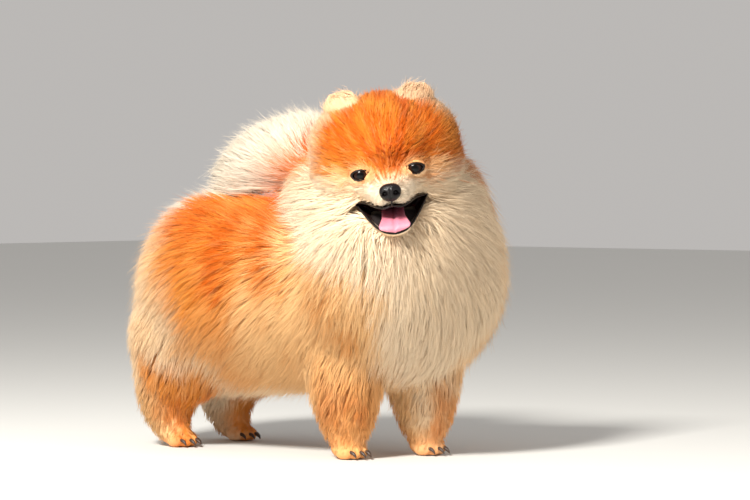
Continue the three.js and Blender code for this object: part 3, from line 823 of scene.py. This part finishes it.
def rolled(line, thick, side, steps):
    """A rolled rim along a lip, thick in the middle of each side and thin at its corners."""
    radii = np.interp(np.linspace(-1, 1, len(line)), (-1, -0.6, 0, 0.6, 1), (0.5, *thick, 0.5))
    return shell(Length([(p, r, r, 0) for p, r in zip(line, radii)], side=side), steps, 14)


upper, lower = both_halves(UPPER_LIP), both_halves(LOWER_LIP)
seam = [(0, -67.4, -19.5), (0, -66.2, -22.6), (0, -61.5, -24.4)]
rims = [
    rolled(upper, (0.9, 0.8, 0.9), (0, 0, 1), 120),
    rolled(lower, (0.95, 1.15, 0.95), (0, 0, 1), 120),
    shell(Length([(p, 0.55, 0.9, 0) for p in seam]), 16, 10),
]
lips = mesh_piece("lips", *joined([(in_frame(on_drawing(p)), f) for p, f in rims]))
lips.data.materials.append(rim_look)
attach(lips, "root")

ACROSS_MOUTH, DOWN_MOUTH = 64, 18
share = np.linspace(0, 1, ACROSS_MOUTH)
depth = 40 * (1 - (2 * share - 1) ** 2) ** 0.8
lining_rows = []
for wall in (0.0, 0.9):
    for w in np.linspace(0, 1, DOWN_MOUTH)[:: 1 if wall == 0 else -1]:
        row = (1 - w) * Curve(upper)(share) + w * Curve(lower)(share)
        row[:, 1] += wall + depth * (1 - abs(2 * w - 1) ** 3)
        lining_rows.append(row)
corner = np.arange(2 * DOWN_MOUTH * ACROSS_MOUTH).reshape(-1, ACROSS_MOUTH)
a, b = corner[:, :-1], corner[:, 1:]
c, d = np.roll(corner, -1, 0)[:, 1:], np.roll(corner, -1, 0)[:, :-1]
quads = np.stack([a, b, c, d], -1).reshape(-1, 4)
lining = mesh_piece("mouth_lining", in_frame(on_drawing(np.vstack(lining_rows))), quads[:, ::-1])
lining_look, shade, principled = material("mouth_lining")
place = drawing_place(shade.node("ShaderNodeTexCoord", out="Object"))
folds = (place * (1, 1, 2)).noise(4, 3)
# Painted shade: the lining's folds range from near black to dark red.
lining_shade_colour = folds.rise(0.3, 0.7).dyed(dye(24, 10, 10), dye(64, 22, 24))
finish_of(shade, principled, lining_shade_colour, 0.4 + 0.2 * folds, bump=(folds, 0.0006))
lining.data.materials.append(lining_look)
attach(lining, "root")

# The tongue. Thin, moist and pink, with a groove along its middle, it slopes down over the lower
# lip and widens to its rounded end.
TONGUE = [
    ((0, -18, -27.5), 8, 2.4, 0),
    ((0, -32, -30.5), 8.6, 2.4, 0),
    ((0, -45, -34), 9, 2.1, 0),
    ((0, -54, -37), 10.6, 1.7, 0),
    ((0, -58.5, -40), 12, 1.4, 0),
    ((0, -59.9, -42), 11, 1.0, 0),
    ((0, -60.2, -43.2), 7, 0.5, 0),
]
tongue_points, faces = shell(Length(TONGUE), 80, 56)
across_tongue = tongue_points[:, 0]
tongue_points[:, 2] -= 1.3 * np.exp(-((across_tongue / 1.1) ** 2))
tongue_points[:, 2] += 0.007 * across_tongue**2
tongue = mesh_piece("tongue_flesh", in_frame(on_drawing(tongue_points)), faces)
tongue_look, shade, principled = material("tongue")
place = drawing_place(shade.node("ShaderNodeTexCoord", out="Object"))
papillae = place.noise(0.55, 2)
blush = place.noise(7, 2)
tongue_colour = blush.dyed(dye(208, 108, 130), dye(228, 140, 158))
# Painted shade: the back of the tongue, deep in the mouth under the upper lip, is darkened to mauve.
tongue_shadow = (seen_from_head(place)[3] + 3 * blush).rise(-35, -28)
tongue_colour = (tongue_shadow * 0.75).dyed(tongue_colour, dye(96, 28, 48))
finish_of(
    shade, principled, tongue_colour, 0.3 + 0.25 * papillae, bump=(papillae, 0.00025),
    Subsurface_Weight=0.15,
)
tongue.data.materials.append(tongue_look)
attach(tongue, "root")
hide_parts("tongue")

# The claws. Four short claws of dark horn on each foot, curved down to the floor. Each sits in
# the end of its toe, and short hair covers its root.
claw_shapes = []
for x, y in PAWS.values():
    for tx, ty in TOES:
        bend = [((0, -5, 6.4), 1.5), ((0, -9, 5.6), 1.4), ((0, -11.5, 3.9), 1), ((0, -12.6, 2), 0.3)]
        sections = [((x + tx, y + ty + by, bz), r, r, 0) for (_, by, bz), r in bend]
        claw_shapes.append(shell(Length(sections), 20, 12))
claws = mesh_piece("claws", *joined([(in_frame(p), f) for p, f in claw_shapes]))
claw_look, shade, principled = material("claw_horn")
place = drawing_place(shade.node("ShaderNodeTexCoord", out="Object"))
layers = (place * (1, 0.3, 1)).noise(0.8, 2)
claw_colour = layers.dyed(dye(40, 30, 26), dye(86, 66, 54))
finish_of(shade, principled, claw_colour, 0.3 + 0.2 * layers, bump=(layers, 0.0001))
claws.data.materials.append(claw_look)
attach(claws, "root")


# The coat. Soft straight hair over a dense underwool. Each hair of the model is a thin closed
# tuft of three sides that leaves the hide, rises through the coat and lies over along it. Tufts
# gather into small locks at their tips.
coat_look, shade, principled = material("coat")
root_place = shade.node("ShaderNodeAttribute", {"attribute_name": "root"}, out="Vector")
along = shade.node("ShaderNodeAttribute", {"attribute_name": "along"}, out="Fac")
tone = shade.node("ShaderNodeAttribute", {"attribute_name": "tone"}, out="Fac")
hair_colour = markings(root_place)
hair_colour = (tone.rise(0.55, 1.0) * 0.2).dyed(hair_colour, PEACH)
hair_colour = ((1 - tone.rise(0.0, 0.4)) * 0.16).dyed(hair_colour, RUST)
hair_colour = ((1 - along.rise(0.0, 0.5)) * 0.1).dyed(hair_colour, RUST)
here = drawing_place(shade.node("ShaderNodeTexCoord", out="Object"))
# Painted shade: hair between the lips is near black, as inside the open mouth.
hair_colour = in_mouth(here).dyed(hair_colour, PAINTED_MOUTH_SHADE)
finish_of(
    shade, principled, hair_colour, 0.6 + 0.2 * tone, Sheen_Weight=0.08, Specular_IOR_Level=0.1,
    Sheen_Tint=(1, 0.85, 0.65, 1),
)

rng = np.random.default_rng(5)
coat_count = 0


def scattered(shape, count):
    """Places spread evenly over a closed mesh, with the way out at each."""
    points, faces = shape
    a, b, c = (points[faces[:, k]] for k in range(3))
    facing = np.cross(b - a, c - a)
    area = np.linalg.norm(facing, axis=1)
    out = np.zeros_like(points)
    for k in range(3):
        np.add.at(out, faces[:, k], facing)
    out = unit(out)
    chosen = rng.choice(len(faces), count, p=area / area.sum())
    u, v = np.sqrt(rng.random(count)), rng.random(count)
    weights = np.stack([1 - u, u * (1 - v), u * v], 1)[:, :, None]
    return (points[faces[chosen]] * weights).sum(1), unit((out[faces[chosen]] * weights).sum(1))


def in_skin(places):
    """The nearest place on the skin to each, with the way out and the place on its unwrap."""
    found = [skin_tree.find_nearest(Vector(p)) for p in places.tolist()]
    at = np.array([f[0] for f in found])
    out = np.array([f[1] for f in found])
    face = np.array([f[2] for f in found])
    a, b, c = (skin_points[skin_faces[face, k]] for k in range(3))
    whole = np.maximum(np.linalg.norm(np.cross(b - a, c - a), axis=1), 1e-12)
    share_b = np.linalg.norm(np.cross(at - a, c - a), axis=1) / whole
    share_c = np.linalg.norm(np.cross(b - a, at - a), axis=1) / whole
    shares = np.stack([1 - share_b - share_c, share_b, share_c], 1)[:, :, None]
    return at, out, (skin_unwrap[face] * shares).sum(1)


LOCK_PULL = 0.25  # how far each tip is drawn to the middle of its lock


def gathered(tips, spacing):
    """Draws tips towards the middle of the lock that each belongs to. Gives each lock a number."""
    count = max(int(len(tips) / spacing), 1)
    middles = tips[rng.choice(len(tips), count, replace=False)]
    tree = KDTree(count)
    for i, place in enumerate(middles.tolist()):
        tree.insert(place, i)
    tree.balance()
    lock = np.array([tree.find(Vector(p))[1] for p in tips.tolist()])
    return tips + (middles[lock] - tips) * LOCK_PULL, lock, count


TUFT_TURNS = np.radians([90, 210, 330])
JOINTS = 3  # places along a tuft, with its root and its tip
WAVE = 0.05  # how far a tuft bends out of its line, for its length
LEAST_HEIGHT = 1.5  # of any hair over the floor, in millimetres
MOST_TRIANGLES = 196000  # in one piece of the coat
TUFT_PATCH = 0.003  # across a tuft's place on the unwrap


def grow(name, slot, tips, out, lie, long, wide, lift=0.5, stand=0.25, spacing=12,
         stray=0.08, stray_by=4.0, shed=1.0, lean=1.0, dyed_above=0):
    """A coat piece: tufts whose tips are at these places, lying this way."""
    global coat_count
    count = len(tips)
    long = np.broadcast_to(np.asarray(long, float), (count,)) * rng.uniform(0.8, 1.15, count)
    leant = long * lean * math.sqrt(1 - lift**2)
    lie = unit(lie - out * (lie * out).sum(1)[:, None])
    gathered_tips, lock, locks = gathered(tips, spacing)
    lock_rise = rng.normal(0, 1, locks)[lock]
    lock_turn = rng.normal(0, 0.16, locks)[lock] + rng.normal(0, 0.07, count)
    across = np.cross(lie, out)
    lie = unit(lie + across * lock_turn[:, None])
    tips = gathered_tips + out * (shed * (0.35 * lock_rise + rng.uniform(-3.2, 0.9, count)))[:, None]
    strays = rng.random(count) < stray
    tips = tips + (out * rng.uniform(0.3, 1, count)[:, None] + 0.7 * lie) * (
        strays * stray_by * rng.random(count)
    )[:, None]
    tips[:, 2] = np.maximum(tips[:, 2], LEAST_HEIGHT)
    start = tips - lie * leant[:, None] - out * (long * lift)[:, None]
    roots, root_out, unwrap = in_skin(start)
    reach = np.linalg.norm(tips - roots, axis=1)[:, None]
    bend = rng.normal(0, WAVE, (count, 3)) * reach
    points = [
        roots - root_out * 0.4,
        roots + unit(root_out * 0.9 + lie * 0.5) * reach * 0.38 + bend,
        tips - unit(lie + out * stand) * reach * 0.34 - bend * 0.5,
        tips,
    ]
    for place in points[1:3]:
        place[:, 2] = np.maximum(place[:, 2], LEAST_HEIGHT)

    def at(t):
        weights = ((1 - t) ** 3, 3 * t * (1 - t) ** 2, 3 * t * t * (1 - t), t**3)
        return sum(w * p for w, p in zip(weights, points))

    clear = np.all([past_lips(at(t)) > 0.6 for t in (0.12, 0.3, 0.5, 0.75, 1.0)], axis=0)
    shares = np.linspace(0, 1, JOINTS) ** 0.9
    steps = [at(t) for t in shares]
    rings = []
    size = wide * rng.uniform(0.7, 1.2, count) * (1 - 0.4 * strays)
    for i, t in enumerate(shares[:-1]):
        ahead = unit(steps[i + 1] - steps[max(i - 1, 0)])
        side = unit(np.cross(ahead, out))
        up = np.cross(side, ahead)
        full = size * (0.75 + 0.7 * t) * (1 - t**2.2)
        for turn in TUFT_TURNS:
            sideways = side * (0.5 * full * math.cos(turn))[:, None]
            rings.append(steps[i] + sideways + up * (0.3 * full * math.sin(turn))[:, None])
    each = 3 * (JOINTS - 1) + 1
    corners = np.stack([*rings, steps[-1]], 1)
    pattern = [(0, 1, 2)]
    for i in range(JOINTS - 2):
        for k in range(3):
            a, b = 3 * i + k, 3 * i + (k + 1) % 3
            pattern += [(b, a, b + 3), (b + 3, a, a + 3)]
    last = 3 * (JOINTS - 2)
    pattern += [(last + (k + 1) % 3, last + k, each - 1) for k in range(3)]
    pattern = np.array(pattern)
    across_patch = np.array([*([0.0, 0.5, 1.0] * (JOINTS - 1)), 0.5])
    along_patch = np.array([*np.repeat(shares[:-1], 3), 1.0])
    patch = (np.stack([across_patch, along_patch], 1) - 0.5) * TUFT_PATCH
    tones = np.clip(rng.normal(0.5, 0.17, locks)[lock] + rng.normal(0, 0.13, count), 0, 1)
    spread = np.cross(out, lie)
    soft_out = unit(out + 0.25 * lie + spread * rng.normal(0, 0.25, count)[:, None])
    pieces = max(math.ceil(count * len(pattern) / MOST_TRIANGLES), 1)
    for number, chosen in enumerate(np.array_split(rng.permutation(np.flatnonzero(clear)), pieces)):
        n = len(chosen)
        coat_count += n * len(pattern)
        points_here = in_frame(corners[chosen].reshape(-1, 3))
        faces_here = (pattern[None] + (np.arange(n) * each)[:, None, None]).reshape(-1, 3)
        part = mesh_piece(f"{name}_{number + 1}", points_here, faces_here)
        mesh = part.data
        root = np.repeat(roots[chosen] + (0, 0, dyed_above), each, 0)
        for title, kind, field, values in (
            ("root", "FLOAT_VECTOR", "vector", root),
            ("along", "FLOAT", "value", np.tile(along_patch, n)),
            ("tone", "FLOAT", "value", np.repeat(tones[chosen], each)),
        ):
            held = mesh.attributes.new(title, kind, "POINT")
            held.data.foreach_set(field, values.astype(np.float32).ravel())
        flat = (unwrap[chosen][:, None] + patch[None]).reshape(-1, 2)
        layer = mesh.uv_layers.new(name="OFBake")
        layer.data.foreach_set("uv", flat[faces_here.ravel()].astype(np.float32).ravel())
        radial = corners[chosen] - np.stack(
            [*np.repeat(np.stack(steps[:-1], 1)[chosen], 3, 1).swapaxes(0, 1), steps[-1][chosen]], 1
        )
        normals = unit(soft_out[chosen][:, None] * 1.0 + unit(radial) * 0.45)
        mesh.normals_split_custom_set_from_vertices(normals.reshape(-1, 3).tolist())
        mesh.materials.append(coat_look)
        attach(part, "root")
    print(name, count, pieces)


full_ruff = Blend(**RUFF)
full_torso = Length(TORSO)
full_tail = Length(TAIL)
full_legs = {name: Length(legged(name)) for name in PAWS}
full_skull = Blend(**SKULL)


def on_head_drawing(places):
    return (places - HEAD_AT) @ head_turn


def past_lips(places):
    """How far each place lies outside the outline of the open mouth, seen from the front."""
    x, y, z = on_head_drawing(places).T
    x = np.abs(x)
    over = z - np.interp(x, *np.array(UPPER_LIP)[::-1, [0, 2]].T)
    under = np.interp(x, *np.array(LOWER_LIP)[::-1, [0, 2]].T) - z
    past = np.maximum(np.maximum(over, under), x - 28)
    return np.where(y < -4, past, 60)


def lip_plane(places):
    """How far forward the lips lie, straight in front of or behind each place."""
    return np.interp(np.abs(on_head_drawing(places)[:, 0]), *np.array(UPPER_LIP)[::-1, :2].T)


# The outside of the long coat, where its tips lie: neck, body, tail and legs run softly into one
# another. The breeches fill the angle behind the thighs, and the hair over the rump stands up.
BREECH_AT, BREECH_RADII = (35, 112, 88), (45, 58, 48)
RUMP = Ball((0, 104, 150), (78, 62, 63))
coat_forms = [
    shell(full_ruff, 80, 80),
    shell(full_torso, 60, 64),
    shell(full_tail, 50, 36),
    shell(RUMP, 50, 60),
    *[shell(leg, 50, 36) for leg in full_legs.values()],
    *[shell(Ball(np.multiply(BREECH_AT, (s, 1, 1)), BREECH_RADII), 40, 50) for s in (-1, 1)],
]
for x, y in PAWS.values():
    for tx, ty in TOES:
        coat_forms.append(shell(Ball((tx + x, ty + y, 5.8), (4.6, 8.8, 6.2)), 12, 14))
outside = mesh_piece("outside", *joined(coat_forms))
OUTSIDE_VOXEL = 2.6
finished(outside, "REMESH", mode="VOXEL", voxel_size=OUTSIDE_VOXEL)
finished(outside, "TRIANGULATE")
outside_faces = triangles_of(outside)
close_lying = points_of(outside)
finished(outside, "SMOOTH", factor=0.5, iterations=40)
loose = np.clip((close_lying[:, 2:] - 24) / 30, 0, 1)
outside_points = close_lying + (points_of(outside) - close_lying) * loose
bpy.data.objects.remove(outside)

# The long coat. The ruff stands off neck and chest and falls away from the face on all sides. Body
# hair lies back and down. The plume fans out over the back, and short hair covers the feet.
LONG_TUFTS = 118000
RUFF_LONG, BODY_LONG, PLUME_LONG = 46, 44, 40
tips, out = scattered((outside_points, outside_faces), LONG_TUFTS)
held_by = {
    "ruff": full_ruff,
    "body_coat": full_torso,
    "plume": full_tail,
    **{f"leg_hair_{name}": leg for name, leg in full_legs.items()},
}
depths = np.array([form.depth(tips) for form in held_by.values()])
depths[1] = np.maximum(depths[1], -60)  # the body holds whatever lies far from every form
shown = (full_skull.depth(on_head_drawing(tips)) < 6) & (tips[:, 2] > 3)
gap = past_lips(tips)
shown &= gap > 1.2
tips, out, depths, gap = tips[shown], out[shown], depths[:, shown], gap[shown]
near_lips = 1 - np.clip(gap / 16, 0, 1)
in_front = lip_plane(tips) - 1.5 - on_head_drawing(tips)[:, 1]
tips += (np.maximum(in_front, 0) * near_lips)[:, None] * head_turn[:, 1]
shares = np.exp((depths - depths.max(0)) / 8)
shares /= shares.sum(0)
pole = unit(np.array(RUFF["pole"]))
away = tips - np.array(RUFF["origin"])
ruff_lie = unit(away - pole * (away @ pole)[:, None]) + (0, 0.1, -0.5)
rump = np.clip((tips[:, 1:2] - 60) / 70, 0, 1)
above = np.clip((tips[:, 2:] - 150) / 40, 0, 1)
body_lie = (0, 1, -0.9) * (1 - rump) + (0, 0.25, -1) * rump + (0, 0.2, 0.8) * above * (1 - rump)
plume_lie = (tips - (3, -10, 205)) / 40
leg_lie = np.tile([0, 0.3, -1.0], (len(tips), 1))
lies = [ruff_lie, body_lie, plume_lie, *[leg_lie] * 4]
lie = sum(share[:, None] * unit(way) for share, way in zip(shares, lies))
low = np.clip(tips[:, 2] / 70, 0, 1)
leg_long = 3.5 + 22 * low**1.3
longs = [*[np.full(len(tips), v) for v in (RUFF_LONG, BODY_LONG, PLUME_LONG)], *[leg_long] * 4]
long = sum(share * length for share, length in zip(shares, longs))
long = np.minimum(long, 5 + 1.1 * gap)
lean = np.clip((gap - 3) / 14, 0, 1)
owner = shares.argmax(0)
COAT_LOOKS = {
    "ruff": dict(slot="cream_coat", wide=0.8, lift=0.55, stand=0.5, stray=0.2, stray_by=9),
    "body_coat": dict(slot="orange_coat", wide=0.8, lift=0.62, stand=0.7, stray=0.2, stray_by=10),
    "plume": dict(slot="cream_coat", wide=0.74, lift=0.66, stand=0.6, stray=0.25, stray_by=12),
    "leg_hair": dict(slot="orange_coat", wide=0.8, lift=0.45, stand=0.35, stray=0.1, stray_by=5),
}
for number, name in enumerate(held_by):
    mine = owner == number
    looks = COAT_LOOKS["leg_hair" if name.startswith("leg") else name]
    grow(
        name, tips=tips[mine], out=out[mine], lie=lie[mine], long=long[mine],
        lean=lean[mine], **looks,
    )

# The face. Short dense hair over skull, cheeks and muzzle, swept away from the nose, up over the
# crown and out into the ruff. It is set into the hide, and stops at the eyes, nose and lips.
FACE_TUFTS = 46000
tips, out = scattered(shell(full_skull, 170, 170), FACE_TUFTS)
side = np.sign(tips[:, 0])
from_eye = np.stack([tips[:, 0] - 21 * side, tips[:, 2] - 0.2], 1)  # as seen from the front
eye_gap = np.linalg.norm(from_eye / (EYE_OPEN[0] + 0.9, EYE_OPEN[1] + 0.8), axis=1)
eye_gap[tips[:, 1] > -8] = 9
shown = eye_gap > 1
eye_away = tips - EYE_AT * np.stack([side, np.ones_like(side), np.ones_like(side)], 1)
eye_reach = np.linalg.norm(eye_away, axis=1)[:, None]
tips = tips + eye_away / eye_reach * np.maximum(10.7 - eye_reach, 0)
shown &= np.linalg.norm((tips - NOSE_AT) / (9.4, 8, 7.9), axis=1) > 1
tips_at, out_at = on_drawing(tips), out @ head_turn.T
shown &= (past_lips(tips_at) > 0.7) & (full_ruff.depth(tips_at) < 16)
away = tips - (0, -58, -10)
by_eye = np.clip((2.4 - eye_gap) / 1.2, 0, 1)[:, None]
round_eye = np.stack([from_eye[:, 0], np.full(len(tips), 6.0), from_eye[:, 1]], 1)
lie = unit(away) * (1 - by_eye) + unit(round_eye) * by_eye
on_muzzle = np.clip((-tips[:, 1] - 26) / 14, 0, 1)
on_cheek = np.clip((np.abs(tips[:, 0]) - 26) / 14, 0, 1)
long = 11 + 9 * on_cheek - 7.5 * on_muzzle
long = np.minimum(long, 2.5 + 7 * (eye_gap - 1))
chosen = np.flatnonzero(shown)
grow(
    "face_hair", "orange_coat", tips_at[chosen], out_at[chosen], (lie @ head_turn.T)[chosen],
    long[chosen], 0.5, lift=0.36, spacing=9, stray=0.14, stray_by=6, shed=0.45,
)

# The chin. A little short pale hair on the underside of the jaw. It lies back and down from the
# lower lip, into the ruff.
CHIN_TUFTS = 2600
tips, out = scattered(shell(Length(JAW), 60, 60), CHIN_TUFTS)
below = out[:, 2] < -0.05
tips, out = tips[below], out[below]
lie = np.tile([0, 0.8, -0.6], (len(tips), 1))
grow(
    "chin_hair", "cream_coat", on_drawing(tips), out @ head_turn.T, lie @ head_turn.T,
    7, 0.55, lift=0.36, spacing=9, shed=0.5,
)

# The ears. Small and upright, of thin hide. Soft pale hair on both their sides fans up and out
# over the rim, and half fills the cup.
EAR_TUFTS = 6500
for side, s in (("right", -1), ("left", 1)):
    ear_form = Length(ear_sections(s), 0, ear_side(s))
    tips, out = scattered(shell(ear_form, 50, 50), EAR_TUFTS)
    shown = full_skull.depth(tips) < 1
    tips, out = tips[shown], out[shown]
    lie = np.tile([0.35 * s, 0.1, 1.0], (len(tips), 1)) + out * (0.3, 0, 0)
    grow(
        f"ear_hair_{side}", "cream_coat", on_drawing(tips), out @ head_turn.T,
        lie @ head_turn.T, 10, 0.5, lift=0.45, spacing=9, shed=0.4, stray=0.16, stray_by=6,
        dyed_above=9,
    )
print("coat triangles", coat_count)

# The floor and the light. A plain pale sheet, in soft light from all round, with one bright lamp
# high at the camera's left and a weak warm one at its right.
floor = mesh_piece(
    "floor",
    np.array([(-6, -6, 0), (6, -6, 0), (6, 6, 0), (-6, 6, 0)]),
    np.array([(0, 1, 2, 3)]),
)
floor_look, shade, principled = material("pale_floor")
finish_of(shade, principled, (0.72, 0.72, 0.7), 0.9)
floor.data.materials.append(floor_look)
floor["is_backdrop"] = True

world = bpy.data.worlds.new("studio")
bpy.context.scene.world = world
world.use_nodes = True
world.node_tree.nodes["Background"].inputs["Color"].default_value = (1, 0.965, 0.935, 1)
world.node_tree.nodes["Background"].inputs["Strength"].default_value = 0.5
bpy.context.scene.view_settings.view_transform = "Standard"


def lamp(name, at, power, size, colour):
    data = bpy.data.lights.new(name, "AREA")
    data.energy, data.size, data.color = power, size, colour
    made = bpy.data.objects.new(name, data)
    bpy.context.collection.objects.link(made)
    made.location = in_frame(at)
    aim = Vector(in_frame((0, 0, 150))) - made.location
    made.rotation_euler = aim.to_track_quat("-Z", "Y").to_euler()


lamp("sun_side", -620 * across_view - 1250 * into_view + (0, 0, 1230), 58, 0.35, (1, 0.97, 0.91))
lamp("fill_side", 1300 * across_view - 900 * into_view + (0, 0, 700), 2.5, 1.2, (1, 0.9, 0.8))

low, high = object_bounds()
